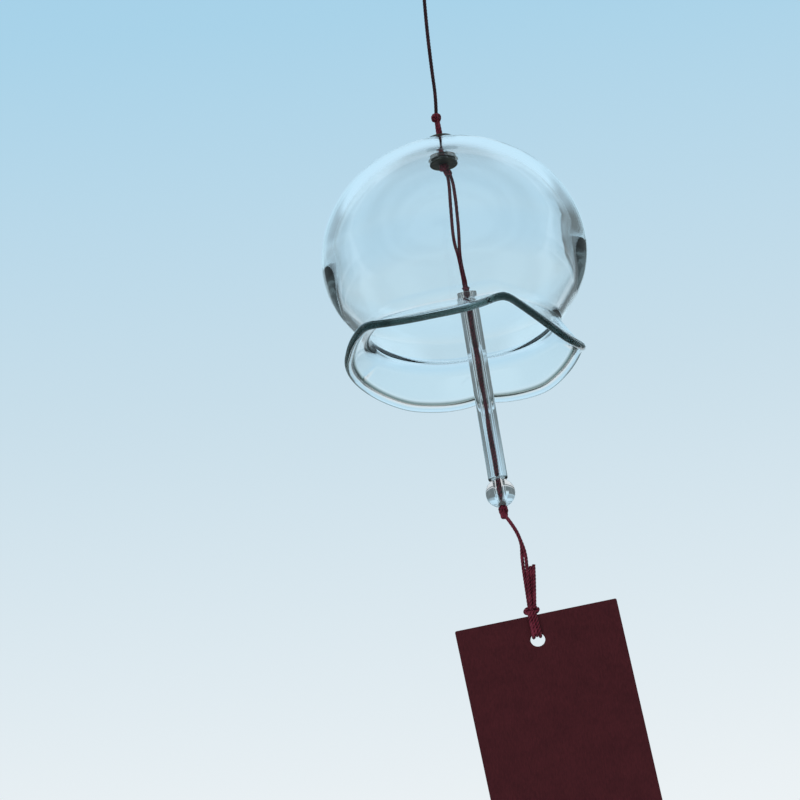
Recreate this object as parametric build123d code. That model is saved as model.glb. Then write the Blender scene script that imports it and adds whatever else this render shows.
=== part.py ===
from build123d import *

import math
import os

# A glass wind bell that hangs on a doubled cord, with a glass tube for a clapper and a
# wind strip below. Sizes are in millimetres. Z is up, and the origin is where the hanging
# loop bears on its hook. From the front, which looks along +Y, a light breeze blows from
# the left, so the clapper and the strip lean to the right.

# Cord: two waxed strands, knotted, with small clearances where knots turn or seat
strand = 0.95
strand_gap = 0.02
play = 0.12
seat_gap = 0.05
knot_radius = 1.6
small_knot_radius = 1.25
loop_knot_radius = 2.0
knot_core_share = 0.3
knot_turns = (20, 140, 260)
knot_tilt = 52

# Hanging loop and the cord down to the bell
hook_radius = 3.0
loop_height = 22.0
cord_length = 44.3
crown_clearance = 8.3
splay_half_width = 0.55
splay_start_width = 0.33
splay_start_depth = 0.38

# Glass globe
globe_radius = 40.0
dome_height = 36.0
globe_wall = 3.0
crown_wall = 3.0
belly_share = 0.65
belly_turn = 35
crown_hole_radius = 1.8
nipple_radius = 4.4
nipple_height = 2.4
nipple_edge = 0.5
nipple_root = 0.9

# Flared lip of the globe. Each corner has its direction in degrees, then the radius and the
# depth below the equator of the lip's edge, as shares of the globe's radius. Each swag from
# one corner to the next has its lowest radius and depth, and how sharply it rises to each end.
neck_share = 0.6975
neck_depth_share = 0.625
outer_fillet_share = 0.08
inner_fillet_share = 0.125
lip_edge_radius = 1.25
lip_corners = ((18.5, 0.8975, 0.73), (84.3, 0.9625, 0.7875), (155.8, 0.905, 0.7675),
               (224.4, 0.98, 0.7575), (289.9, 0.955, 0.72))
lip_swags = ((0.9125, 0.8575, 1.2, 2.4), (0.8825, 0.8725, 3.5, 1.3),
             (0.8725, 0.76, 2.2, 1.6), (0.89, 0.805, 2.2, 2.7), (0.84, 0.905, 1.9, 1.75))
swag_shares = (-1, -0.8, -0.45, 0, 0.45, 0.8, 1)
lip_inset = 0.1
lip_overlap = 1.2
lip_start_share = 0.49

# Washers on both sides of the crown
washer_radius = 4.4
washer_thickness = 0.8
washer_hole_radius = 1.25
washer_edge = 0.3

# Clapper: pivot beside the crown knot, then glass tube and glass bead on the cord
clapper_lean = 2.7
clapper_offset = 0.5
clapper_drop = 7.45
stop_knot_distance = 38.6
stop_knot_radius = 1.2
clapper_cord_shares = (0, 0.117, 0.285, 0.492, 0.7, 0.881, 1)
tube_distance = 41.9
tube_length = 59.2
tube_radius = 2.9
tube_bore_radius = 1.15
tube_edge = 0.35
bead_radius = 4.4
bead_bore_radius = 1.1
tail_knot_sink = 1.25

# Cord from the bead down to the knot on the strip
tie_offset = 4.65
tie_drop = 30.4
lower_cord_shares = (0, 0.141, 0.306, 0.428, 0.576, 0.773, 1)
tail_shares = (0.55, 0.66, 0.806, 1)
tie_wrap_half_length = 1.15
tie_wrap_half_height = 0.7
tie_wrap_front = 0.5
tie_core_radius = 0.85
tie_core_length = 3.6
tie_core_edge = 0.5

# Wind strip
strip_lean = 5.4
strip_width = 48.0
strip_length = 150.0
strip_thickness = 0.6
strip_offset = 0.9
strip_hole_radius = 2.15
strip_hole_drop = 7.5
strip_corner = 0.5
tie_loops = 3

# Places that follow from the sizes above
beside = (strand + strand_gap) / 2
loop_knot_z = -loop_height
upper_knot_z = loop_knot_z - cord_length
nipple_top_z = upper_knot_z - crown_clearance
dome_top_z = nipple_top_z - nipple_height
equator_z = dome_top_z - dome_height
inside_radius = globe_radius - globe_wall
inside_height = dome_height - crown_wall
belly_radius = belly_share * globe_radius
neck_z = equator_z - neck_depth_share * globe_radius
lip_start_z = equator_z - lip_start_share * globe_radius


def dome_z(radius, half_width, height):
    """Height of a spheroid round the globe's centre, at this distance from its axis."""
    return equator_z + height * math.sqrt(1 - (radius / half_width) ** 2)


def seat(ball, hole):
    """How far a ball's centre stays from a hole's rim when it is drawn into the hole."""
    return math.sqrt(ball ** 2 - hole ** 2)


washer_top_z = nipple_top_z + seat_gap + washer_thickness
inner_washer_z = dome_z(washer_radius, inside_radius, inside_height) - seat_gap
inner_seat_z = inner_washer_z - washer_thickness
crown_knot_z = inner_seat_z - seat(knot_radius + seat_gap, washer_hole_radius)

# Distances down the clapper from its pivot: the tube rests on the bead, the bead on its knot
bead_distance = (tube_distance + tube_length
                 + seat(bead_radius, tube_bore_radius) + seat_gap)
bead_knot_distance = (bead_distance + seat(bead_radius, bead_bore_radius)
                      + seat(knot_radius + seat_gap, bead_bore_radius))
tail_knot_distance = bead_knot_distance + knot_radius + small_knot_radius - tail_knot_sink

# Frames of the parts that turn or lean
clapper_at = Location((clapper_offset, 0, dome_top_z - clapper_drop), (0, -clapper_lean, 0))
clapper_pivot = clapper_at.position
tail_pivot = (clapper_at * Pos(0, 0, -tail_knot_distance)).position
tail_at = Location(tail_pivot)
tie_at = tail_at * Pos(tie_offset, 0, -tie_drop)
strip_at = tie_at * Rot(0, -strip_lean, 0)
tie_knot_radius = math.hypot(tie_wrap_half_height, tie_wrap_front) + strand / 2
strip_top = -tie_knot_radius - play


def ball(point, radius):
    return Pos(*point) * Sphere(radius)


def knot(radius):
    """A tight knot: three turns of strand, tilted round a small core."""
    turn = Torus(radius - strand / 2, strand / 2)
    solid = Sphere(radius - strand * knot_core_share)
    for angle in knot_turns:
        solid += Rot(0, 0, angle) * Rot(knot_tilt, 0, 0) * turn
    return solid


def swept(path):
    return sweep((path ^ 0) * Circle(strand / 2), path=path)


def strand_through(points):
    """One strand through hand-placed points, with arcs as wide as its runs allow."""
    points = [Vector(*point) for point in points]
    runs = [end - start for start, end in zip(points, points[1:])]
    radii = []
    for before, after in zip(runs, runs[1:]):
        half_turn = math.radians(before.get_angle(after)) / 2
        radii.append(0.45 * min(before.length, after.length) / math.tan(half_turn))
    path = FilletPolyline(*points, radius=radii)
    solid = swept(path)
    ratio = solid.volume / (path.length * math.pi * (strand / 2) ** 2)
    print("strand", round(path.length, 1), "mm, radii", [round(radius, 1) for radius in radii],
          "volume over section times length", round(ratio, 4))
    return solid


def hung(shares, length, *sides):
    """Points of a hanging strand: hand-placed across, at shares of its length down."""
    return [(x, y, -share * length) for share, (x, y) in zip(shares, sides)]


def strands(solids, *cuts):
    """The strands of one stretch, ended at the knots they run into."""
    return Compound(children=[solid - list(cuts) for solid in solids])


def hanging_loop():
    """The eye: up from its knot, over the hook and down again."""
    centre = Vector(0, 0, -hook_radius)
    radius = hook_radius + strand / 2
    foot = Vector(beside, 0, loop_knot_z) - centre
    toward = math.atan2(foot.Z, foot.X) + math.acos(radius / foot.length)
    touch = Vector(radius * math.cos(toward), 0, radius * math.sin(toward))
    right = centre + touch
    left = Vector(-right.X, 0, right.Z)
    path = Wire([
        Line((-beside, 0, loop_knot_z), left),
        ThreePointArc(left, centre + Vector(0, 0, radius), right),
        Line(right, (beside, 0, loop_knot_z)),
    ])
    return swept(path) - ball((0, 0, loop_knot_z), loop_knot_radius + play)


def loop_knot():
    return Pos(0, 0, loop_knot_z) * knot(loop_knot_radius)


def hanging_cord():
    """Two strands, one behind the other as the front sees them."""
    middle_z = loop_knot_z - cord_length * 0.45
    low_z = upper_knot_z + cord_length * 0.16
    pair = [strand_through([(0, side * beside, loop_knot_z),
                            (0.1 + 0.05 * side, side * (beside + 0.03), middle_z),
                            (0.2, side * beside, low_z),
                            (-0.1, side * (beside + 0.02), upper_knot_z)])
            for side in (-1, 1)]
    return strands(pair, ball((0, 0, loop_knot_z), loop_knot_radius + play),
                   ball((0, 0, upper_knot_z), knot_radius + play))


def upper_knot():
    return Pos(0, 0, upper_knot_z) * knot(knot_radius)


def crown_cord():
    """The strands fan out below the upper knot and run through washers and glass."""
    pair = [strand_through([
        (side * splay_start_width, -side * splay_start_depth, upper_knot_z),
        (side * splay_half_width, 0, washer_top_z),
        (side * beside, 0, crown_knot_z)]) for side in (-1, 1)]
    return strands(pair, ball((0, 0, upper_knot_z), knot_radius + play),
                   ball((0, 0, crown_knot_z), knot_radius + seat_gap))


def washer(top_z):
    body = Cylinder(washer_radius, washer_thickness)
    body = fillet(body.edges().filter_by(GeomType.CIRCLE), washer_edge)
    body -= Cylinder(washer_hole_radius, 2 * washer_thickness)
    return Pos(0, 0, top_z - washer_thickness / 2) * body


def top_washer():
    return washer(washer_top_z)


def inner_washer():
    return washer(inner_washer_z)


def crown_knot():
    """The knot that the bell rests on, hollowed where the clapper's knot turns in it."""
    socket = ball(clapper_pivot, small_knot_radius + play)
    return Pos(0, 0, crown_knot_z) * knot(knot_radius) - socket


def belly(inset):
    """Arc from the equator inwards, its lower end, and the slope of the cone below it."""
    turn = math.radians(belly_turn)
    centre = globe_radius - belly_radius
    radius = belly_radius - inset
    points = [Vector(centre + radius * math.cos(angle), equator_z - radius * math.sin(angle))
              for angle in (0, turn / 2, turn)]
    slope = Vector(-math.sin(turn), -math.cos(turn))
    return ThreePointArc(*points), points[-1], slope


def cone_point(inset, z):
    """Point of the cone at this height, this far inside its outer face."""
    _, end, slope = belly(inset)
    return end + slope * ((z - end.Y) / slope.Y)


def globe():
    """The blown globe, from its drilled crown down to the cone above the neck."""
    outer_arc, outer_end, _ = belly(0)
    inner_arc, inner_end, _ = belly(globe_wall)
    outer_foot = cone_point(0, lip_start_z)
    inner_foot = cone_point(globe_wall, lip_start_z)
    root = Vector(nipple_radius, dome_z(nipple_radius, globe_radius, dome_height))
    hole = Vector(crown_hole_radius, dome_z(crown_hole_radius, inside_radius, inside_height))
    nipple_top = Vector(nipple_radius, nipple_top_z)
    outline = [
        Line((crown_hole_radius, nipple_top_z), nipple_top),
        Line(nipple_top, root),
        EllipticalCenterArc((0, equator_z), globe_radius, dome_height,
                            arc_size=math.degrees(math.acos(root.X / globe_radius))),
        outer_arc,
        Line(outer_end, outer_foot),
        Line(outer_foot, inner_foot),
        Line(inner_foot, inner_end),
        inner_arc,
        EllipticalCenterArc((0, equator_z), inside_radius, inside_height,
                            arc_size=math.degrees(math.acos(hole.X / inside_radius))),
        Line(hole, (crown_hole_radius, nipple_top_z)),
    ]
    body = revolve(Plane.XZ * make_face(outline), axis=Axis.Z)
    rims = body.edges().filter_by(GeomType.CIRCLE).filter_by(
        lambda rim: abs(rim.radius - nipple_radius) < nipple_edge).sort_by(Axis.Z)
    body = fillet(rims[-1], nipple_edge)
    rims = body.edges().filter_by(GeomType.CIRCLE).filter_by(
        lambda rim: abs(rim.radius - nipple_radius) < nipple_edge).sort_by(Axis.Z)
    return fillet(rims[0], nipple_root)


def crossing(point, direction, other, other_direction):
    """Where two straight sides of the lip's outline meet."""
    turn = direction.X * other_direction.Y - direction.Y * other_direction.X
    gap = other - point
    along = (gap.X * other_direction.Y - gap.Y * other_direction.X) / turn
    return point + direction * along


def lip_section(angle, radius, z):
    """Radial cut of the lip: down the cone, round the neck and out to the melted edge."""
    neck = Vector(neck_share * globe_radius, neck_z)
    edge = Vector(radius, z)
    flare = (edge - neck).normalized()
    across = Vector(-flare.Y, flare.X) * lip_edge_radius
    slope = belly(0)[2]
    start_z = lip_start_z + lip_overlap
    outer_top = cone_point(lip_inset, start_z)
    inner_top = cone_point(globe_wall - lip_inset, start_z)
    outer_neck = crossing(outer_top, slope, edge + across, flare)
    inner_neck = crossing(inner_top, slope, edge - across, flare)
    outline = [
        FilletPolyline(outer_top, outer_neck, edge + across,
                       radius=outer_fillet_share * globe_radius),
        ThreePointArc(edge + across, edge + flare * lip_edge_radius, edge - across),
        FilletPolyline(edge - across, inner_neck, inner_top,
                       radius=inner_fillet_share * globe_radius),
        Line(inner_top, outer_top),
    ]
    return Rot(0, 0, angle) * (Plane.XZ * make_face(outline))


def lip_swag(number):
    """One swag of the lip: it hangs lowest between two corners."""
    start, end = lip_corners[number], lip_corners[(number + 1) % len(lip_corners)]
    turn = (end[0] - start[0]) % 360
    low_radius, low_depth, start_power, end_power = lip_swags[number]
    sections = []
    for share in swag_shares:
        corner, power = (start, start_power) if share < 0 else (end, end_power)
        rise = abs(share) ** power
        radius = low_radius + (corner[1] - low_radius) * rise
        depth = low_depth + (corner[2] - low_depth) * rise
        sections.append(lip_section(start[0] + turn * (1 + share) / 2,
                                    globe_radius * radius, equator_z - globe_radius * depth))
    return loft(sections)


def glass_bell():
    """The five swags make one lip, and the lip's cone runs up inside the globe's wall."""
    first, *others = [lip_swag(number) for number in range(len(lip_corners))]
    lip = first
    for swag in others:
        lip += swag
    return globe() + lip


def clapper_knot():
    return Pos(*clapper_pivot) * knot(small_knot_radius)


def clapper_cord():
    """Two strands that part a little on their way down to the stop knot."""
    left = strand_through(hung(
        clapper_cord_shares, stop_knot_distance, (-0.5, 0.1), (-0.35, 0.1), (-0.55, 0.1),
        (-0.68, 0.1), (-0.5, 0.1), (-0.47, 0.1), (-0.5, 0.1)))
    right = strand_through(hung(
        clapper_cord_shares, stop_knot_distance, (0.5, -0.1), (1.15, -0.1), (1.35, -0.1),
        (1.25, -0.1), (0.85, -0.1), (0.55, -0.1), (0.5, -0.1)))
    return clapper_at * strands([left, right], Sphere(small_knot_radius + play),
                                ball((0, 0, -stop_knot_distance), stop_knot_radius + seat_gap))


def stop_knot():
    """Small knot that keeps the tube from riding up the cord."""
    return clapper_at * Pos(0, 0, -stop_knot_distance) * knot(stop_knot_radius)


def tube_cord():
    """The strands inside tube and bead, pulled straight by the strip."""
    pair = [swept(Line((side * beside, 0, -stop_knot_distance),
                       (side * beside, 0, -bead_knot_distance))) for side in (-1, 1)]
    return clapper_at * strands(
        pair, ball((0, 0, -stop_knot_distance), stop_knot_radius + seat_gap),
        ball((0, 0, -bead_knot_distance), knot_radius + seat_gap))


def glass_tube():
    """The clapper: a cut length of thick-walled tube with melted ends."""
    body = Cylinder(tube_radius, tube_length)
    body = fillet(body.edges().filter_by(GeomType.CIRCLE), tube_edge)
    body -= Cylinder(tube_bore_radius, 2 * tube_length)
    return clapper_at * Pos(0, 0, -tube_distance - tube_length / 2) * body


def glass_bead():
    body = Sphere(bead_radius) - Cylinder(bead_bore_radius, 4 * bead_radius)
    return clapper_at * Pos(0, 0, -bead_distance) * body


def bead_knot():
    """The knot that carries the bead, hollowed where the tail's knot turns in it."""
    body = clapper_at * Pos(0, 0, -bead_knot_distance) * knot(knot_radius)
    return body - ball(tail_pivot, small_knot_radius + play)


def tail_knot():
    return tail_at * knot(small_knot_radius)


def lower_cord():
    """Two strands that cross once and run down to the knot on the strip."""
    left = strand_through(hung(
        lower_cord_shares, tie_drop, (0.3, 0.48), (2.3, 0.52), (3.75, 0.5), (3.65, 0.3),
        (3.75, 0.05), (3.95, 0), (4.15, 0)))
    right = strand_through(hung(
        lower_cord_shares, tie_drop, (0.1, -0.48), (2, -0.52), (3.75, -0.52), (4.9, -0.4),
        (4.8, -0.3), (4.7, -0.62), (4.65, -0.85)))
    return tail_at * strands([left, right], Sphere(small_knot_radius + play), tie_clearance())


def cord_tails():
    """The cut ends of the tie, lying against the cord."""
    inner = strand_through(hung(tail_shares, tie_drop, (5.85, -0.05), (5.75, -0.05),
                                (5.5, 0), (5.15, 0)))
    outer = strand_through(hung(tail_shares, tie_drop, (6.85, -0.25), (6.6, -0.4),
                                (6.2, -0.68), (5.65, -0.85)))
    return tail_at * strands([inner, outer], tie_clearance())


def tie_clearance():
    """The space that the tie knot turns in, on the tail's frame."""
    top = tie_wrap_half_height + strand / 2 + play
    size = 2 * tie_drop
    return Pos(tie_offset, 0, top - tie_drop - size / 2) * Box(size, size, size)


def tie_knot():
    """A flat wrap of strand across a rounded core, standing on the strip's top edge."""
    high = tie_wrap_half_height
    long = tie_wrap_half_length
    right_arc = ThreePointArc((long, 0, high), (long + high, 0, 0), (long, 0, -high))
    left_arc = ThreePointArc((-long, 0, -high), (-long - high, 0, 0), (-long, 0, high))
    wrap = swept(Wire([
        Line((-long, 0, high), (long, 0, high)), right_arc,
        Line((long, 0, -high), (-long, 0, -high)), left_arc]))
    core = Cylinder(tie_core_radius, tie_core_length)
    core = fillet(core.edges().filter_by(GeomType.CIRCLE), tie_core_edge)
    return strip_at * (Rot(0, 90, 0) * core + Pos(0, -tie_wrap_front, 0) * wrap)


def tie_loop():
    """Turns of strand from the tie knot through the strip's hole and back up behind."""
    out = strip_thickness / 2 + seat_gap + strand / 2
    pitch = strand + strand_gap
    turn = Rot(0, 90, 0) * Cylinder(tie_knot_radius + play, 4 * tie_core_length)
    solids = []
    for number in range(tie_loops):
        x = (number - (tie_loops - 1) / 2) * pitch
        rim = seat(strip_hole_radius, abs(x) + strand / 2)
        low = strip_top - strip_hole_drop + rim - seat_gap - strand / 2 + out
        path = Wire([
            Line((x, -out, 0), (x, -out, low)),
            ThreePointArc((x, -out, low), (x, 0, low - out), (x, out, low)),
            Line((x, out, low), (x, out, 0)),
        ])
        solids.append(swept(path))
    return strip_at * strands(solids, turn)


def tanzaku():
    """The wind strip: plain stiff card with one punched hole."""
    card = Box(strip_width, strip_thickness, strip_length)
    card = fillet(card.edges().filter_by(Axis.Y), strip_corner)
    card = Pos(strip_offset, 0, strip_top - strip_length / 2) * card
    hole = Rot(90, 0, 0) * Cylinder(strip_hole_radius, 4 * strip_thickness)
    return strip_at * (card - Pos(0, 0, strip_top - strip_hole_drop) * hole)


pieces = (hanging_loop, loop_knot, hanging_cord, upper_knot, crown_cord, top_washer,
          inner_washer, crown_knot, glass_bell, clapper_knot, clapper_cord, stop_knot,
          tube_cord, glass_tube, glass_bead, bead_knot, tail_knot, lower_cord, cord_tails,
          tie_knot, tie_loop, tanzaku)

os.makedirs("parts", exist_ok=True)
for piece in pieces:
    export_step(piece(), f"parts/{piece.__name__}.step")
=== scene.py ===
import math

import bpy
from mathutils import Matrix, Vector


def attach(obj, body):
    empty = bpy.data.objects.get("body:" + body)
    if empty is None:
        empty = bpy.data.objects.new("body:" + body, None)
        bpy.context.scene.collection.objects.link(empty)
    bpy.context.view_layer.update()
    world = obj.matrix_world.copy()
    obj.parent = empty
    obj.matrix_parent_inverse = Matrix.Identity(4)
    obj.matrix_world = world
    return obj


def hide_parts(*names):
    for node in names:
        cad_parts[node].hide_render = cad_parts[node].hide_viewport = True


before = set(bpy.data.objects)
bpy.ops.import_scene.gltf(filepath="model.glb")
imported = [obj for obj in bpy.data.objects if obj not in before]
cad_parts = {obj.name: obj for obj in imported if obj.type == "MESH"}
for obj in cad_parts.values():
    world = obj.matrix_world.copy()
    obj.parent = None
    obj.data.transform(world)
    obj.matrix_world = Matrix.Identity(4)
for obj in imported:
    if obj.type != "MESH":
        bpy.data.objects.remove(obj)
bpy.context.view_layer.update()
scene = bpy.context.scene
scene.view_settings.view_transform = "Standard"


# The camera looks up at the bell from below and a little rolled, through a long lens. It is
# placed by where the middle of the globe lies in the picture, in pixels of an 800 by 800 frame.
globe_middle = Vector((0, 0, -0.11457))
camera_distance = 1.2844
camera_rise = math.radians(23.28)
camera_roll = math.radians(6.6)
focal_pixels = 4270
middle_pixel = (455.0, 261.8)

sight = Vector((0, math.cos(camera_rise), math.sin(camera_rise)))
level_up = Vector((0, -math.sin(camera_rise), math.cos(camera_rise)))
picture_right = Vector((1, 0, 0)) * math.cos(camera_roll) - level_up * math.sin(camera_roll)
picture_up = Vector((1, 0, 0)) * math.sin(camera_roll) + level_up * math.cos(camera_roll)
camera_data = bpy.data.cameras.new("camera")
camera_data.sensor_width = 36
camera_data.lens = 36 * focal_pixels / 800
forward = (sight - picture_right * (middle_pixel[0] - 400) / focal_pixels
           - picture_up * (400 - middle_pixel[1]) / focal_pixels).normalized()
right = picture_right - forward * picture_right.dot(forward)
right.normalize()
up = right.cross(forward)
camera = bpy.data.objects.new("camera", camera_data)
turn = Matrix((right, up, -forward)).transposed().to_4x4()
camera.matrix_world = Matrix.Translation(globe_middle - sight * camera_distance) @ turn
scene.collection.objects.link(camera)
scene.camera = camera


# All the cord is thin, twisted from three plies, waxed, and dark wine red; at the top it is
# given a darker colour, which is painted shade.
# Each strand follows its own route, and one node tree turns the route into plies.
strand = 1.1e-3
lay = 3.4e-3
ply_depth = 0.18


def maker(nodes, links):
    """Makes a node with settings, and a math node from numbers and sockets."""
    def node(kind, **settings):
        made = nodes.new(kind)
        for name, value in settings.items():
            setattr(made, name, value)
        return made

    def math_node(operation, *values):
        made = node("ShaderNodeMath", operation=operation)
        for socket, value in zip(made.inputs, values):
            if isinstance(value, (int, float)):
                socket.default_value = value
            else:
                links.new(value, socket)
        return made.outputs["Value"]

    return node, math_node


def new_material(name):
    """A new material with the parts that every material here is built from."""
    material = bpy.data.materials.new(name)
    material.use_nodes = True
    nodes = material.node_tree.nodes
    return material, nodes, material.node_tree.links, nodes["Principled BSDF"]


def cord_material(name, ply_colour, worn_colour):
    """Waxed thread: painted shade, near black in the grooves between plies; a little sheen,
    fine fibres along the plies.
    """
    material, nodes, links, shader = new_material(name)
    shader.inputs["Roughness"].default_value = 0.5
    shader.inputs["Specular IOR Level"].default_value = 0.2
    shader.inputs["Sheen Weight"].default_value = 0.05
    shader.inputs["Sheen Roughness"].default_value = 0.4
    ply = nodes.new("ShaderNodeAttribute")
    ply.attribute_name = "ply_height"
    place = nodes.new("ShaderNodeTexCoord")
    fibres = nodes.new("ShaderNodeTexNoise")
    fibres.inputs["Scale"].default_value = 5200
    fibres.inputs["Detail"].default_value = 3
    wear = nodes.new("ShaderNodeTexNoise")
    wear.inputs["Scale"].default_value = 420
    wear.inputs["Detail"].default_value = 2
    links.new(place.outputs["Object"], fibres.inputs["Vector"])
    links.new(place.outputs["Object"], wear.inputs["Vector"])
    # Painted shade: where the ply's height is low, in the grooves, the colour goes near black.
    groove_shade_ramp = nodes.new("ShaderNodeValToRGB")
    groove_shade_ramp.color_ramp.elements[0].color = (0.006, 0.001, 0.002, 1)
    groove_shade_ramp.color_ramp.elements[1].color = (*ply_colour, 1)
    links.new(ply.outputs["Fac"], groove_shade_ramp.inputs["Fac"])
    worn = nodes.new("ShaderNodeMix")
    worn.data_type = "RGBA"
    worn.inputs["B"].default_value = (*worn_colour, 1)
    spread = nodes.new("ShaderNodeMapRange")
    spread.inputs["From Min"].default_value = 0.5
    spread.inputs["From Max"].default_value = 0.8
    spread.inputs["To Max"].default_value = 0.6
    links.new(wear.outputs["Fac"], spread.inputs["Value"])
    links.new(spread.outputs["Result"], worn.inputs["Factor"])
    links.new(groove_shade_ramp.outputs["Color"], worn.inputs["A"])
    links.new(worn.outputs["Result"], shader.inputs["Base Color"])
    bump = nodes.new("ShaderNodeBump")
    bump.inputs["Strength"].default_value = 0.35
    bump.inputs["Distance"].default_value = 0.00005
    links.new(fibres.outputs["Fac"], bump.inputs["Height"])
    links.new(bump.outputs["Normal"], shader.inputs["Normal"])
    return material


waxed_cord = cord_material("waxed cord", (0.13, 0.010, 0.026), (0.22, 0.028, 0.055))
# The cord at the top is the same cord in a darker copy of its colour, which is painted shade.
cord_in_painted_shade = cord_material("cord in painted shade", (0.030, 0.008, 0.013), (0.06, 0.018, 0.026))


def twisting_tree():
    """Geometry nodes: a curve becomes one strand of three plies twisted round each other."""
    tree = bpy.data.node_groups.new("twist of three plies", "GeometryNodeTree")
    face = tree.interface
    face.new_socket("Route", in_out="INPUT", socket_type="NodeSocketGeometry")
    for name in ("Strand radius", "Lay", "Ply depth", "Step"):
        face.new_socket(name, in_out="INPUT", socket_type="NodeSocketFloat")
    face.new_socket("Finish", in_out="INPUT", socket_type="NodeSocketMaterial")
    face.new_socket("Strand", in_out="OUTPUT", socket_type="NodeSocketGeometry")
    links = tree.links
    node, math_node = maker(tree.nodes, links)
    given = node("NodeGroupInput")
    even = node("GeometryNodeResampleCurve", mode="LENGTH")
    links.new(given.outputs["Route"], even.inputs["Curve"])
    links.new(given.outputs["Step"], even.inputs["Length"])
    along = node("GeometryNodeSplineParameter")
    turns = math_node("DIVIDE", along.outputs["Length"], given.outputs["Lay"])
    tilt = node("GeometryNodeSetCurveTilt")
    links.new(even.outputs["Curve"], tilt.inputs["Curve"])
    links.new(math_node("MULTIPLY", turns, math.tau), tilt.inputs["Tilt"])

    section = node("GeometryNodeCurvePrimitiveCircle")
    section.inputs["Resolution"].default_value = 24
    links.new(given.outputs["Strand radius"], section.inputs["Radius"])
    share = node("GeometryNodeSplineParameter")
    wave = math_node("COSINE", math_node("MULTIPLY", share.outputs["Factor"], 3 * math.tau))
    height = math_node("MULTIPLY", math_node("ADD", wave, 1.0), 0.5)
    height = math_node("POWER", height, 0.5)
    sink = math_node("MULTIPLY", math_node("SUBTRACT", height, 1.0), given.outputs["Ply depth"])
    size = math_node("ADD", sink, 1.0)
    place = node("GeometryNodeInputPosition")
    scaled = node("ShaderNodeVectorMath", operation="SCALE")
    links.new(place.outputs["Position"], scaled.inputs["Vector"])
    links.new(size, scaled.inputs["Scale"])
    lobes = node("GeometryNodeSetPosition")
    links.new(section.outputs["Curve"], lobes.inputs["Geometry"])
    links.new(scaled.outputs["Vector"], lobes.inputs["Position"])
    # The ply's height, kept for the cord's painted shade in its grooves.
    store = node("GeometryNodeStoreNamedAttribute", data_type="FLOAT", domain="POINT")
    store.inputs["Name"].default_value = "ply_height"
    links.new(lobes.outputs["Geometry"], store.inputs["Geometry"])
    links.new(height, store.inputs["Value"])

    skin = node("GeometryNodeCurveToMesh")
    skin.inputs["Fill Caps"].default_value = True
    links.new(tilt.outputs["Curve"], skin.inputs["Curve"])
    links.new(store.outputs["Geometry"], skin.inputs["Profile Curve"])
    smooth = node("GeometryNodeSetShadeSmooth")
    links.new(skin.outputs["Mesh"], smooth.inputs["Geometry"])
    real = node("GeometryNodeRealizeInstances")
    links.new(smooth.outputs["Geometry"], real.inputs["Geometry"])
    finish = node("GeometryNodeSetMaterial")
    links.new(real.outputs["Geometry"], finish.inputs["Geometry"])
    links.new(given.outputs["Finish"], finish.inputs["Material"])
    out = node("NodeGroupOutput")
    links.new(finish.outputs["Geometry"], out.inputs["Strand"])
    return tree


twist = twisting_tree()


def route(name, points, closed=False):
    """A smooth line through the frame, drawn in by the given points."""
    data = bpy.data.curves.new(name, "CURVE")
    data.dimensions = "3D"
    data.resolution_u = 16
    spline = data.splines.new("NURBS")
    spline.points.add(len(points) - 1)
    for control, point in zip(spline.points, points):
        control.co = (*point, 1)
    spline.order_u = 3
    if closed:
        spline.use_cyclic_u = True
    else:
        spline.use_endpoint_u = True
    line = bpy.data.objects.new(name, data)
    scene.collection.objects.link(line)
    return line


def read_line(line):
    """The points of a route's smooth line."""
    graph = bpy.context.evaluated_depsgraph_get()
    mesh = bpy.data.meshes.new_from_object(line.evaluated_get(graph))
    points = [tuple(vertex.co) for vertex in mesh.vertices]
    bpy.data.meshes.remove(mesh)
    return points


def twisted(name, lines, body, node, finish=None):
    """Twists each line into a strand and joins them into one piece on that body."""
    sockets = {item.name: item.identifier for item in twist.interface.items_tree}
    meshes = []
    for line in lines:
        modifier = line.modifiers.new("twist", "NODES")
        modifier.node_group = twist
        modifier[sockets["Strand radius"]] = strand / 2
        modifier[sockets["Lay"]] = lay
        modifier[sockets["Ply depth"]] = ply_depth
        modifier[sockets["Step"]] = strand / 5
        modifier[sockets["Finish"]] = finish or waxed_cord
        graph = bpy.context.evaluated_depsgraph_get()
        meshes.append(bpy.data.meshes.new_from_object(line.evaluated_get(graph)))
        bpy.data.objects.remove(line)
    piece = bpy.data.objects.new(name, meshes[0])
    scene.collection.objects.link(piece)
    if len(meshes) > 1:
        others = [bpy.data.objects.new(f"{name}_{i}", m) for i, m in enumerate(meshes[1:])]
        for other in others:
            scene.collection.objects.link(other)
        with bpy.context.temp_override(active_object=piece, selected_editable_objects=[
                piece, *others]):
            bpy.ops.object.join()
    piece.data.name = name
    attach(piece, body)
    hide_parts(node)
    return piece


def strand_of(name, points, body, node, finish=None):
    """One strand of cord, twisted along its own line."""
    line = route(name, points)
    path = read_line(line)
    piece = twisted(name, [line], body, node, finish)
    return piece


def millimetres(points, place=Matrix()):
    return [place @ (Vector(point) * 0.001) for point in points]


# Knots: each is one tight overhand turn of the same cord, pulled into a small lump.
knot_places = {
    "loop_knot": ((0, 0, -22), 2.0, 15),
    "upper_knot": ((-0.65, 0, -66.5), 1.65, 200),
    "crown_knot": ((-0.05, -0.1, -82.25), 1.75, 70),
    "clapper_knot": ((0.95, -0.1, -84.3), 1.45, 130),
    "tail_knot": ((5.799, 0, -196.812), 1.25, 310),
}
clapper_place = (Matrix.Translation((0.0005, 0, -0.08445))
                 @ Matrix.Rotation(math.radians(-2.7), 4, "Y"))
clapper_knots = {
    "stop_knot": ((0, 0, -38.6), 1.3, 20),
    "bead_knot": ((0, 0, -110.887), 1.6, 250),
}


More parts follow.
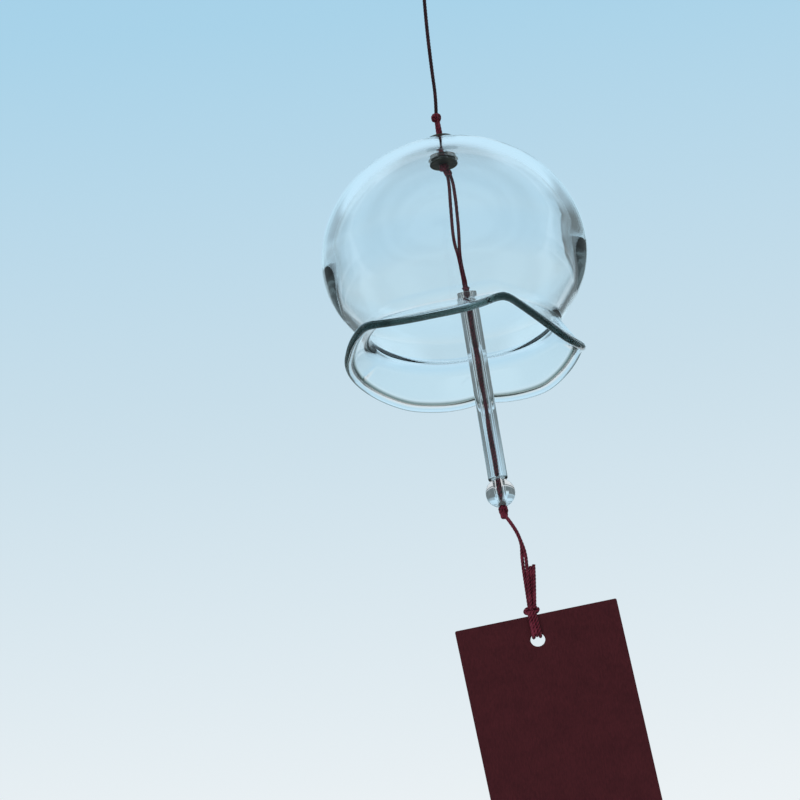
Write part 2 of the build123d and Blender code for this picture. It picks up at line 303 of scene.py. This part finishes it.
def knot(name, centre, radius, spin, body, place=Matrix()):
    """An overhand knot: a closed turn that passes through itself, and two turns round it."""
    reach = radius - strand * 500
    lines = []
    turned = Matrix.Rotation(math.radians(spin), 4, "Z") @ Matrix.Rotation(
        math.radians(64), 4, "X")
    points = []
    for step in range(36):
        t = math.tau * step / 36
        out = reach * (0.56 + 0.46 * math.cos(3 * t))
        points.append(Vector(centre) + turned @ Vector((
            out * math.cos(2 * t), out * math.sin(2 * t), 0.55 * reach * math.sin(3 * t))))
    lines.append(route(name + "_turn", millimetres(points, place), closed=True))
    for number, tilt in enumerate((38, -52)):
        turned = Matrix.Rotation(math.radians(spin + 75 * number), 4, "Z") @ Matrix.Rotation(
            math.radians(tilt), 4, "X")
        points = [Vector(centre) + turned @ Vector((
            reach * math.cos(math.tau * step / 12), reach * 1.04 * math.sin(
                math.tau * step / 12), 0)) for step in range(12)]
        lines.append(route(f"{name}_wrap_{number}", millimetres(points, place), closed=True))
    return twisted(name + "_cord", lines, body, name)


for name, (centre, radius, spin) in knot_places.items():
    body = "crown" if name == "crown_knot" else name
    knot(name, centre, radius, spin, body)
for name, (centre, radius, spin) in clapper_knots.items():
    knot(name, centre, radius, spin, "clapper", clapper_place)


# The hanging loop and the doubled cord down to the bell: the eye goes over a hook, and the
# two strands below its knot lie one behind the other.
strand_of("eye_strand", millimetres([
    (-0.485, 0, -22), (-2.0, 0, -12.5), (-3.45, 0, -4.6), (-3.6, 0, -1.6), (-2.2, 0, 0.35),
    (0, 0, 0.62), (2.2, 0, 0.35), (3.6, 0, -1.6), (3.45, 0, -4.6), (2.0, 0, -12.5),
    (0.485, 0, -22)]), "hanging_loop", "hanging_loop", finish=cord_in_painted_shade)
strand_of("front_hanging_strand", millimetres([
    (0, -0.485, -22), (-0.42, -0.515, -34), (-0.36, -0.515, -50), (-0.05, -0.485, -60.5),
    (-0.65, -0.505, -66.3)]), "hanging_cord", "hanging_cord", finish=cord_in_painted_shade)
strand_of("back_hanging_strand", millimetres([
    (0, 0.485, -22), (-0.32, 0.515, -34), (-0.28, 0.515, -50), (-0.05, 0.485, -60.5),
    (-0.65, 0.505, -66.3)]), "hanging_cord", "hanging_cord", finish=cord_in_painted_shade)


# Below the upper knot the strands fan out and go through both washers and the crown's hole.
crown_lines = [route(f"crown_line_{side}", millimetres([
    (side * 0.2 - 0.55, -side * 0.45, -66.3), (side * 0.62 - 0.12, 0, -73.4),
    (side * 0.485, 0, -82.2)])) for side in (-1, 1)]
twisted("crown_strands", crown_lines, "crown", "crown_cord")


# The clapper's cord: two strands that stand a little apart down to the stop knot, then run
# through tube and bead to the knot that carries them. pair_turns gives height, turn and sway.
strand_of("left_clapper_strand", millimetres([
    (0.1, 0.1, 0), (0.4, 0.1, -2.5), (-0.2, 0.1, -9), (-0.9, 0.1, -16), (-1.1, 0, -23),
    (-0.55, -0.35, -29), (-0.45, -0.5, -34), (-0.3, -0.4, -38.6)], clapper_place),
    "clapper", "clapper_cord")
strand_of("right_clapper_strand", millimetres([
    (0.9, -0.1, 0), (1.55, -0.1, -2.5), (1.4, -0.1, -9), (1.1, -0.1, -16), (0.35, 0.1, -23),
    (-0.2, 0.5, -28.5), (-0.05, 0.5, -34), (0.35, 0.4, -38.6)], clapper_place),
    "clapper", "clapper_cord")
pair_turns = (
    (-38.6, 20, 0), (-46, 50, 0.12), (-54, 72, -0.1), (-62, 48, 0.12), (-70, 58, -0.08),
    (-78, 88, 0.12), (-86, 62, -0.12), (-94, 50, 0.1), (-102, 78, -0.05), (-110.9, 30, 0))
for side, word in ((-1, "left"), (1, "right")):
    strand_of(f"{word}_tube_strand", millimetres([
        (side * 0.47 * math.cos(math.radians(turn)) + sway,
         side * 0.47 * math.sin(math.radians(turn)), z) for z, turn, sway in pair_turns],
        clapper_place), "clapper", "tube_cord")


# The cord below the bead leans out to the right, crosses itself once and ends in the tie on
# the strip. The cut ends of the tie lie against it.
tail_place = Matrix.Translation((0.005799, 0, -0.196812))
strand_of("left_lower_strand", millimetres([
    (0.3, 0.48, 0), (2.9, 0.52, -4.3), (4.15, 0.5, -9.3), (3.75, 0.3, -13),
    (3.75, 0.05, -17.5), (3.95, 0, -23.5), (4.15, 0, -30.4)], tail_place),
    "lower_cord", "lower_cord")
strand_of("right_lower_strand", millimetres([
    (0.1, -0.48, 0), (2.6, -0.52, -4.3), (4.15, -0.52, -9.3), (4.9, -0.4, -13),
    (4.8, -0.3, -17.5), (4.7, -0.62, -23.5), (4.65, -0.85, -30.4)], tail_place),
    "lower_cord", "lower_cord")
tails = [
    route("inner_tail_line", millimetres([
        (5.85, -0.05, -16.7), (5.75, -0.05, -20), (5.5, 0, -24.5), (5.15, 0, -30)],
        tail_place)),
    route("outer_tail_line", millimetres([
        (6.85, -0.25, -16.4), (6.6, -0.4, -20.1), (6.2, -0.68, -24.5), (5.65, -0.85, -30)],
        tail_place)),
]
twisted("tail_ends", tails, "lower_cord", "cord_tails")


# The tie: a flat wrap of cord that stands on the strip's edge, and the turns from it through
# the strip's hole and back up behind.
tie_place = (Matrix.Translation((0.010449, 0, -0.227212))
             @ Matrix.Rotation(math.radians(-5.4), 4, "Y"))
wrap = route("wrap_line", millimetres([
    (1.5, -0.5, 0.75), (2.05, -0.45, 0), (1.5, -0.5, -0.75), (0, -0.55, -0.75),
    (-1.5, -0.5, -0.75), (-2.05, -0.45, 0), (-1.5, -0.5, 0.75), (0, -0.62, 0.78)],
    tie_place), closed=True)
core = route("core_line", millimetres([
    (-1.6, 0.1, 0.1), (-0.7, 0.5, 0.3), (0.2, 0.45, -0.1), (1.1, 0.5, 0.3), (1.6, 0, 0.1),
    (0.8, -0.1, -0.3), (0, 0, 0.3), (-0.9, -0.1, -0.3)], tie_place), closed=True)
twisted("tie_wrap", [wrap, core], "tie_knot", "tie_knot")

strip_top = -1.455
hole_middle = strip_top - 7.5
turns = []
for number in (-1, 0, 1):
    x = number * 0.97
    edge = hole_middle + math.sqrt(2.15 ** 2 - (abs(x) + 0.475) ** 2) - 0.05
    turns.append(route(f"turn_line_{number}", millimetres([
        (x * 0.8, -0.7, -0.2), (x * 0.9, -0.85, -2.2), (x, -0.83, edge + 1.1),
        (x, -0.86, edge - 0.5), (x, 0, edge - 0.56), (x, 0.86, edge - 0.5),
        (x, 0.83, edge + 1.1), (x * 0.9, 0.85, -2.2), (x * 0.8, 0.7, -0.2)], tie_place)))
twisted("tie_turns", turns, "strip", "tie_loop")


# The globe is clear soda glass, blown thick and flared at the mouth while hot. Its lip is drawn
# out at five corners and sags between them. Light needs many bounces to leave thick glass, and
# sizes here are in millimetres.
scene.cycles.max_bounces = scene.cycles.transmission_bounces = 40
scene.cycles.glossy_bounces = 40
globe_radius, dome_height, globe_wall, crown_wall = 40.0, 36.0, 3.0, 3.0
belly_radius, belly_turn = 26.0, math.radians(35)
pole_z = -77.0
hole_radius, nipple_radius, nipple_height = 1.8, 4.4, 2.4
neck = Vector((27.9, pole_z - 61.0))
neck_wall, edge_radius, lip_thinness, bead_reach = 2.0, 1.25, 0.6, 2.3
bead_root, bead_sweep, outer_fillet, inner_fillet = 1.05, 260, 3.2, 5.0
bell_steps = 360
equator = pole_z - dome_height
corners = ((18.5, 35.9, -29.2), (84.3, 38.5, -31.5), (155.8, 36.2, -30.7),
           (224.4, 39.2, -30.3), (289.9, 38.2, -28.8))
pinched = (0, 2)
# The dark green of the painted shade on the lip's rim.
rim_shade_tint = (0.12, 0.19, 0.17)
swags = ((36.5, -34.3, 1.2, 2.4), (35.3, -34.9, 3.5, 1.3), (34.9, -30.4, 2.2, 1.6),
         (35.6, -32.2, 2.2, 2.7), (33.6, -36.2, 1.9, 1.75))


def clear_glass(name, tint, density):
    """Clear glass with a trace of colour in its depth, waves in its surface and painted shade,
    a dark tint on the lip's rim.
    """
    material, nodes, links, shader = new_material(name)
    shader.inputs["Roughness"].default_value = 0
    shader.inputs["IOR"].default_value = 1.51
    # Painted shade: where the rim mask is set, the glass is tinted dark green.
    cut = nodes.new("ShaderNodeAttribute")
    cut.attribute_name = "rim_shade_mask"
    edge = nodes.new("ShaderNodeMix")
    edge.data_type = "RGBA"
    edge.inputs["A"].default_value = (1, 1, 1, 1)
    edge.inputs["B"].default_value = (*rim_shade_tint, 1)
    links.new(cut.outputs["Fac"], edge.inputs["Factor"])
    links.new(edge.outputs["Result"], shader.inputs["Base Color"])
    shader.inputs["Transmission Weight"].default_value = 1
    depth = nodes.new("ShaderNodeVolumeAbsorption")
    depth.inputs["Color"].default_value = (*tint, 1)
    depth.inputs["Density"].default_value = density
    links.new(depth.outputs["Volume"], nodes["Material Output"].inputs["Volume"])
    place = nodes.new("ShaderNodeTexCoord")
    waves = nodes.new("ShaderNodeTexNoise")
    waves.inputs["Scale"].default_value = 60
    waves.inputs["Detail"].default_value = 1
    links.new(place.outputs["Object"], waves.inputs["Vector"])
    bump = nodes.new("ShaderNodeBump")
    bump.inputs["Strength"].default_value = 0.12
    bump.inputs["Distance"].default_value = 0.0004
    links.new(waves.outputs["Fac"], bump.inputs["Height"])
    links.new(bump.outputs["Normal"], shader.inputs["Normal"])
    return material


def corner_blend(start, corner, end, radius, count):
    """Points round a corner between two straight sides, on an arc of that radius."""
    first, second = (start - corner).normalized(), (end - corner).normalized()
    half = math.acos(max(-1, min(1, first.dot(second)))) / 2
    middle = corner + (first + second).normalized() * (radius / math.sin(half))
    a = corner + first * (radius / math.tan(half)) - middle
    b = corner + second * (radius / math.tan(half)) - middle
    sweep = math.acos(max(-1, min(1, a.normalized().dot(b.normalized()))))
    sign = 1 if a.x * b.y - a.y * b.x > 0 else -1
    return [middle + Matrix.Rotation(sign * sweep * i / (count - 1), 2) @ a
            for i in range(count)]


def meeting(point, slope, other, other_slope):
    """Where two straight lines of the outline meet."""
    turn = slope.x * other_slope.y - slope.y * other_slope.x
    gap = other - point
    return point + slope * ((gap.x * other_slope.y - gap.y * other_slope.x) / turn)


def spheroid(radius, height, start, end, count):
    return [Vector((radius * math.cos(a), equator + height * math.sin(a)))
            for a in (start + (end - start) * i / (count - 1) for i in range(count))]


def belly(first_inset, last_inset, count):
    """The arc below the equator; the wall thins from the first inset to the last."""
    centre = globe_radius - belly_radius
    points = []
    for i in range(count):
        share = i / (count - 1)
        ease = share * share * (3 - 2 * share)
        radius = belly_radius - first_inset + (first_inset - last_inset) * ease
        points.append(Vector((centre + radius * math.cos(belly_turn * share),
                              equator - radius * math.sin(belly_turn * share))))
    return points


def drawn_lip(degrees):
    """Radius and height that the swags and corners give in this direction."""
    degrees %= 360
    for number, swag in enumerate(swags):
        start, end = corners[number], corners[(number + 1) % 5]
        first, last = start[0], end[0] if number < 4 else end[0] + 360
        angle = degrees if degrees >= corners[0][0] else degrees + 360
        if first <= angle <= last:
            low_radius, low_depth, start_power, end_power = swag
            share = 2 * (angle - first) / (last - first) - 1
            corner = start if share < 0 else end
            rise = abs(share) ** (start_power if share < 0 else end_power)
            return (low_radius + (corner[1] - low_radius) * rise,
                    equator + low_depth + (corner[2] - low_depth) * rise)


def lip_shape(degrees):
    """The lip's edge in this direction, its corners rounded over a few degrees."""
    shares = ((-4.5, 1), (-2.25, 2), (0, 3), (2.25, 2), (4.5, 1))
    return sum((Vector(drawn_lip(degrees + step)) * share for step, share in shares),
               Vector((0, 0))) / 9


def bell_outline(degrees):
    """The wall's closed outline in this direction, from the crown's hole round and back."""
    slope = Vector((-math.sin(belly_turn), -math.cos(belly_turn)))
    edge = lip_shape(degrees)
    flare = (edge - neck).normalized()
    across = Vector((-flare.y, flare.x)) * edge_radius
    side = across * lip_thinness
    outer_arc, inner_arc = belly(0, 0, 24), belly(globe_wall, neck_wall, 24)
    outer_corner = meeting(outer_arc[-1], slope, edge + side, flare)
    inner_corner = meeting(inner_arc[-1], slope, edge - side, flare)
    top = pole_z + nipple_height
    root = Vector((nipple_radius, pole_z - dome_height * (
        1 - math.sqrt(1 - (nipple_radius / globe_radius) ** 2))))
    outline = corner_blend(Vector((hole_radius, top - 2)), Vector((hole_radius, top)),
                           Vector((nipple_radius, top)), 0.3, 5)
    outline += corner_blend(Vector((hole_radius, top)), Vector((nipple_radius, top)), root,
                            0.5, 6)
    outline += corner_blend(Vector((nipple_radius, top)), root,
                            root + Vector((3, -0.34)), 0.9, 7)
    start = math.acos((nipple_radius + 1.2) / globe_radius)
    outline += spheroid(globe_radius, dome_height, start, 0, 46)
    outline += outer_arc[1:]
    outline += corner_blend(outer_arc[-1], outer_corner, edge + side, outer_fillet, 12)
    waist = edge - flare * bead_reach
    for i in range(1, 5):
        outline.append(outline[-1].lerp(waist + side, i / 4))
    outline.append(edge - flare * (edge_radius * bead_root) + side * 1.12)
    bead = [edge + Matrix.Rotation(math.radians(bead_sweep * i / 16 - bead_sweep / 2), 2)
            @ (flare * edge_radius) for i in range(17)]
    if (bead[0] - (edge + across)).length > (bead[-1] - (edge + across)).length:
        bead.reverse()
    outline += bead
    outline.append(edge - flare * (edge_radius * bead_root) - side * 1.12)
    inner_side = corner_blend(edge - side, inner_corner, inner_arc[-1], inner_fillet, 14)
    pinch = max(0, *(1 - abs(degrees - corners[number][0]) / 1.6 for number in pinched))
    for i in range(5):
        crease = side * (1.1 * pinch * (1 - i / 5))
        outline.append((waist - side).lerp(inner_side[0], i / 5) + crease)
    outline += inner_side
    outline += inner_arc[::-1]
    inside, ceiling = globe_radius - globe_wall, dome_height - crown_wall
    end = math.acos((hole_radius + 0.3) / inside)
    outline += spheroid(inside, ceiling, 0, end, 46)[1:]
    low = Vector((hole_radius, pole_z - dome_height + ceiling * math.sin(end)))
    outline.append(low + Vector((0.06, 0.06)))
    outline.append(low + Vector((0, 0.3)))
    return outline


def turned_glass(name, outline_at, steps, material):
    """A closed wall of glass from one outline in each direction round Z."""
    vertices, faces = [], []
    count = 0
    for step in range(steps):
        angle = math.tau * step / steps
        outline = outline_at(math.degrees(angle))
        count = len(outline)
        vertices += [(p.x * math.cos(angle) / 1000, p.x * math.sin(angle) / 1000, p.y / 1000)
                     for p in outline]
    for step in range(steps):
        here, there = step * count, (step + 1) % steps * count
        for i in range(count):
            j = (i + 1) % count
            faces.append((here + i, here + j, there + j, there + i))
    mesh = bpy.data.meshes.new(name)
    mesh.from_pydata(vertices, [], faces)
    mesh.polygons.foreach_set("use_smooth", [True] * len(faces))
    mesh.materials.append(material)
    piece = bpy.data.objects.new(name, mesh)
    scene.collection.objects.link(piece)
    return piece


blown_glass = clear_glass("blown clear glass", (0.72, 0.9, 0.95), 9)
bell = turned_glass("blown_bell", bell_outline, bell_steps, blown_glass)
# Painted shade on the lip: the mask marks the tip of its bead and the bead's root, where the
# glass is tinted dark.
rim_shade_mask = bell.data.attributes.new("rim_shade_mask", "FLOAT", "POINT")
ring = len(bell.data.vertices) // bell_steps
for step in range(bell_steps):
    degrees = 360 * step / bell_steps
    edge = lip_shape(degrees)
    flare = (edge - neck).normalized()
    for number, point in enumerate(bell_outline(degrees)):
        reach = (point - edge).dot(flare) / edge_radius
        tip, root = (reach - 0.72) / 0.1, 1.6 - abs(reach + 0.95) / 0.2
        rim_shade_mask.data[step * ring + number].value = max(0, min(1, max(tip, root)))
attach(bell, "bell")
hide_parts("glass_bell")


# The clapper is a cut length of thick glass tube, its ends melted round, and it stands on a
# clear glass bead. Both are threaded on the cord.
def place_turned(piece, place):
    piece.data.transform(place)
    piece.data.update()


drawn_glass = clear_glass("drawn clear glass", (0.8, 0.93, 0.95), 6)


def tube_outline(_):
    outer, bore, top, bottom = 2.9, 1.15, -41.9, -101.1
    box = [Vector((bore, top)), Vector((outer, top)), Vector((outer, bottom)),
           Vector((bore, bottom))]
    points = []
    for i in range(4):
        points += corner_blend(box[i - 1], box[i], box[(i + 1) % 4], 0.35, 6)
    return points


def bead_outline(_):
    bore, radius, middle = 1.1, 4.4, -105.397
    end = math.acos((bore + 0.1) / radius)
    round_side = [Vector((radius * math.cos(a), middle + radius * math.sin(a)))
                  for a in (end - 2 * end * i / 40 for i in range(41))]
    return round_side + [Vector((bore, middle - 4)), Vector((bore, middle + 4))]


tube = turned_glass("drawn_tube", tube_outline, 72, drawn_glass)
place_turned(tube, clapper_place)
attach(tube, "tube")
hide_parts("glass_tube")
bead = turned_glass("clear_bead", bead_outline, 72, drawn_glass)
place_turned(bead, clapper_place)
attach(bead, "bead")
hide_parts("glass_bead")


# Washers: stamped brass, tarnished to olive grey, one on top of the crown and one under it.
def tarnished_brass():
    material, nodes, links, shader = new_material("tarnished brass")
    shader.inputs["Metallic"].default_value = 0.6
    place = nodes.new("ShaderNodeTexCoord")
    stain = nodes.new("ShaderNodeTexNoise")
    stain.inputs["Scale"].default_value = 700
    stain.inputs["Detail"].default_value = 4
    links.new(place.outputs["Object"], stain.inputs["Vector"])
    colour = nodes.new("ShaderNodeValToRGB")
    colour.color_ramp.elements[0].position = 0.35
    colour.color_ramp.elements[0].color = (0.022, 0.025, 0.021, 1)
    colour.color_ramp.elements[1].position = 0.7
    colour.color_ramp.elements[1].color = (0.085, 0.088, 0.06, 1)
    links.new(stain.outputs["Fac"], colour.inputs["Fac"])
    links.new(colour.outputs["Color"], shader.inputs["Base Color"])
    rough = nodes.new("ShaderNodeMapRange")
    rough.inputs["To Min"].default_value = 0.5
    rough.inputs["To Max"].default_value = 0.28
    links.new(stain.outputs["Fac"], rough.inputs["Value"])
    links.new(rough.outputs["Result"], shader.inputs["Roughness"])
    return material


washer_finish = tarnished_brass()
for node in ("top_washer", "inner_washer"):
    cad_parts[node].material_slots[0].material = washer_finish


# The wind strip is stiff card, dyed dark red through, with long paper fibres and a matt face.
def dyed_card():
    material, nodes, links, shader = new_material("dyed card")
    shader.inputs["Roughness"].default_value = 0.78
    shader.inputs["Specular IOR Level"].default_value = 0.25
    place = nodes.new("ShaderNodeTexCoord")
    stretch = nodes.new("ShaderNodeMapping")
    stretch.inputs["Scale"].default_value = (1, 1, 0.25)
    links.new(place.outputs["Object"], stretch.inputs["Vector"])
    fibres = nodes.new("ShaderNodeTexNoise")
    fibres.inputs["Scale"].default_value = 2600
    fibres.inputs["Detail"].default_value = 5
    fibres.inputs["Roughness"].default_value = 0.65
    links.new(stretch.outputs["Vector"], fibres.inputs["Vector"])
    clouds = nodes.new("ShaderNodeTexNoise")
    clouds.inputs["Scale"].default_value = 160
    clouds.inputs["Detail"].default_value = 3
    links.new(place.outputs["Object"], clouds.inputs["Vector"])
    both = nodes.new("ShaderNodeMath")
    both.operation = "MULTIPLY_ADD"
    both.inputs[1].default_value = 0.45
    links.new(clouds.outputs["Fac"], both.inputs[0])
    links.new(fibres.outputs["Fac"], both.inputs[2])
    colour = nodes.new("ShaderNodeValToRGB")
    colour.color_ramp.elements[0].position = 0.45
    colour.color_ramp.elements[0].color = (0.037, 0.0028, 0.0062, 1)
    colour.color_ramp.elements[1].position = 1.0
    colour.color_ramp.elements[1].color = (0.066, 0.0075, 0.012, 1)
    links.new(both.outputs["Value"], colour.inputs["Fac"])
    links.new(colour.outputs["Color"], shader.inputs["Base Color"])
    bump = nodes.new("ShaderNodeBump")
    bump.inputs["Strength"].default_value = 0.3
    bump.inputs["Distance"].default_value = 0.00006
    links.new(fibres.outputs["Fac"], bump.inputs["Height"])
    links.new(bump.outputs["Normal"], shader.inputs["Normal"])
    return material


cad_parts["tanzaku"].material_slots[0].material = dyed_card()


# Setting: a pale floor far below the bell, a pale blue backdrop, soft light from all round and
# one large lamp above. Cards that only glass and metal can see draw the glass's edges.
def mirrored(nodes, links):
    """1 for a ray that glass or metal has thrown back on its way, 0 for any other."""
    node, math_node = maker(nodes, links)
    rays = node("ShaderNodeLightPath")
    return math_node("GREATER_THAN", rays.outputs["Glossy Depth"], 0.5)


def single_wall(nodes, links):
    """1 for a ray that has only been through one wall, bead or rim of glass."""
    node, math_node = maker(nodes, links)
    rays = node("ShaderNodeLightPath")
    few = math_node("LESS_THAN", rays.outputs["Transmission Depth"], 2.5)
    return math_node("MULTIPLY", few, rays.outputs["Is Transmission Ray"])


def backdrop():
    """Pale blue above and white low down, with dark cards that only glass and metal see."""
    world = bpy.data.worlds.new("backdrop")
    scene.world = world
    world.use_nodes = True
    nodes, links = world.node_tree.nodes, world.node_tree.links
    nodes.clear()
    node, math_node = maker(nodes, links)

    def between(value, low, high, soft):
        """1 between low and high degrees, 0 outside, with soft sides."""
        steps = []
        for start, end in ((low - soft, low + soft), (high + soft, high - soft)):
            step = node("ShaderNodeMapRange", interpolation_type="SMOOTHSTEP")
            step.inputs["From Min"].default_value = math.radians(start)
            step.inputs["From Max"].default_value = math.radians(end)
            links.new(value, step.inputs["Value"])
            steps.append(step.outputs["Result"])
        return math_node("MULTIPLY", *steps)

    place = node("ShaderNodeTexCoord")
    split = node("ShaderNodeSeparateXYZ")
    links.new(place.outputs["Generated"], split.inputs["Vector"])
    rise = math_node("ARCSINE", split.outputs["Z"])
    bearing = math_node("ARCTAN2", split.outputs["X"], split.outputs["Y"])
    height = node("ShaderNodeMapRange")
    height.inputs["From Min"].default_value = -math.pi / 2
    height.inputs["From Max"].default_value = math.pi / 2
    links.new(rise, height.inputs["Value"])

    def sky(stops):
        """The colour at each height above the horizon, in degrees."""
        band = node("ShaderNodeValToRGB")
        for degrees, colour in stops[1:-1]:
            band.color_ramp.elements.new((degrees + 90) / 180)
        for element, (degrees, colour) in zip(band.color_ramp.elements, stops):
            element.position = (degrees + 90) / 180
            element.color = (*colour, 1)
        links.new(height.outputs["Result"], band.inputs["Fac"])
        return band.outputs["Color"]

    def card(behind, factor, colour):
        """A card of this colour in front of what lies behind it."""
        mix = node("ShaderNodeMix", data_type="RGBA")
        mix.inputs["B"].default_value = (*colour, 1)
        links.new(factor, mix.inputs["Factor"])
        links.new(behind, mix.inputs["A"])
        return mix.outputs["Result"]

    open_sky = sky((
        (-90, (0.80, 0.84, 0.86)), (0, (0.84, 0.88, 0.90)), (14, (0.88, 0.925, 0.94)),
        (16, (0.825, 0.878, 0.905)), (21.5, (0.585, 0.735, 0.825)), (27, (0.386, 0.644, 0.815)),
        (35, (0.305, 0.565, 0.776)), (60, (0.515, 0.716, 0.855)), (90, (0.62, 0.76, 0.86))))
    glass_sky = sky((
        (-90, (0.80, 0.84, 0.86)), (0, (0.78, 0.85, 0.90)), (8, (0.70, 0.83, 0.91)),
        (17, (0.62, 0.81, 0.91)), (22, (0.57, 0.79, 0.91)), (28, (0.50, 0.75, 0.91)),
        (40, (0.58, 0.83, 0.99)), (60, (0.57, 0.80, 0.95)), (90, (0.66, 0.83, 0.93))))

    ripple = node("ShaderNodeTexNoise")
    ripple.inputs["Scale"].default_value = 14
    ripple.inputs["Detail"].default_value = 3
    links.new(place.outputs["Generated"], ripple.inputs["Vector"])
    ragged = math_node("ADD", bearing, math_node(
        "MULTIPLY", math_node("SUBTRACT", ripple.outputs["Fac"], 0.5), math.radians(16)))
    right_card = math_node("MULTIPLY", between(ragged, 15, 75, 1.5), between(rise, 0, 29, 3))
    low_left = math_node("MULTIPLY", between(bearing, -75, -11, 2), between(rise, 0, 16, 3))
    high_left = math_node("MULTIPLY", between(bearing, -75, -26, 2), between(rise, 0, 24, 3))
    sides = math_node("MAXIMUM", right_card, math_node("MAXIMUM", low_left, high_left))
    to_side = math_node("ABSOLUTE", bearing)
    high_sides = math_node("MULTIPLY", math_node(
        "MULTIPLY", between(to_side, 22, 75, 3), between(rise, 26, 37, 3)), 0.55)
    rays = node("ShaderNodeLightPath")
    thrown = mirrored(nodes, links)
    behind_camera = math_node("MULTIPLY", thrown, between(to_side, 95, 200, 10))
    overhead = math_node("MULTIPLY", thrown, between(rise, 66, 120, 8))
    glass_sky = card(glass_sky, high_sides, (0.16, 0.19, 0.20))
    glass_sky = card(glass_sky, sides, (0.15, 0.19, 0.205))
    glass_sky = card(glass_sky, behind_camera, (0.17, 0.22, 0.235))
    glass_sky = card(glass_sky, overhead, (0.07, 0.085, 0.09))

    shown = node("ShaderNodeBackground")
    links.new(open_sky, shown.inputs["Color"])
    glassed = node("ShaderNodeBackground")
    links.new(glass_sky, glassed.inputs["Color"])
    light = node("ShaderNodeBackground")
    light.inputs["Color"].default_value = (0.97, 0.985, 1, 1)
    light.inputs["Strength"].default_value = 0.9
    glassy = math_node("MAXIMUM", rays.outputs["Is Glossy Ray"],
                       rays.outputs["Is Transmission Ray"])
    first = node("ShaderNodeMixShader")
    links.new(glassy, first.inputs["Fac"])
    links.new(light.outputs["Background"], first.inputs[1])
    links.new(glassed.outputs["Background"], first.inputs[2])
    second = node("ShaderNodeMixShader")
    links.new(rays.outputs["Is Camera Ray"], second.inputs["Fac"])
    links.new(first.outputs["Shader"], second.inputs[1])
    links.new(shown.outputs["Background"], second.inputs[2])
    out = node("ShaderNodeOutputWorld")
    links.new(second.outputs["Shader"], out.inputs["Surface"])


backdrop()


floor_size, floor_z = 12, -0.78
dark_from = 5.5
# Shades of grey that mirrored light meets, by metres beyond the floor's nearest point.
ground_rings = ((0.12, 0.34), (0.18, 0.03), (0.30, 0.03), (0.38, 0.24), (0.52, 0.20),
                (0.60, 0.03), (0.86, 0.03), (1.0, 0.14))


def pale_floor():
    """Pale paint, but dark ground to light that the glass's edges have bent or thrown back."""
    material, nodes, links, paint = new_material("pale floor")
    paint.inputs["Base Color"].default_value = (0.82, 0.84, 0.85, 1)
    paint.inputs["Roughness"].default_value = 0.9
    node, math_node = maker(nodes, links)
    place = node("ShaderNodeTexCoord")
    away = node("ShaderNodeVectorMath", operation="LENGTH")
    links.new(place.outputs["Object"], away.inputs[0])
    distance = away.outputs["Value"]
    shade = node("ShaderNodeValToRGB")
    for _ in ground_rings[2:]:
        shade.color_ramp.elements.new(0.5)
    for element, (position, grey) in zip(shade.color_ramp.elements, ground_rings):
        element.position = position
        element.color = (grey, grey * 1.16, grey * 1.2, 1)
    links.new(math_node("SUBTRACT", distance, -floor_z), shade.inputs["Fac"])
    ground = node("ShaderNodeEmission")
    links.new(shade.outputs["Color"], ground.inputs["Color"])
    edge_light = math_node("MULTIPLY", math_node("GREATER_THAN", distance, dark_from),
                           single_wall(nodes, links))
    chosen = node("ShaderNodeMixShader")
    links.new(math_node("MAXIMUM", mirrored(nodes, links), edge_light), chosen.inputs["Fac"])
    links.new(paint.outputs["BSDF"], chosen.inputs[1])
    links.new(ground.outputs["Emission"], chosen.inputs[2])
    links.new(chosen.outputs["Shader"], nodes["Material Output"].inputs["Surface"])
    return material


floor_mesh = bpy.data.meshes.new("floor")
floor_mesh.from_pydata([(-floor_size, -floor_size, floor_z), (floor_size, -floor_size, floor_z),
                        (floor_size, floor_size, floor_z), (-floor_size, floor_size, floor_z)],
                       [], [(0, 1, 2, 3)])
floor_mesh.materials.append(pale_floor())
floor = bpy.data.objects.new("floor", floor_mesh)
scene.collection.objects.link(floor)

lamp_data = bpy.data.lights.new("lamp", "AREA")
lamp_data.shape = "DISK"
lamp_data.size = 1.4
lamp_data.energy = 14
lamp = bpy.data.objects.new("lamp", lamp_data)
lamp.location = (-1.2, -1.4, 1.3)
lamp.rotation_euler = (Vector((0, 0, -0.15)) - lamp.location).to_track_quat(
    "-Z", "Y").to_euler()
lamp.visible_glossy = False
lamp.visible_transmission = False
scene.collection.objects.link(lamp)

bpy.context.view_layer.update()
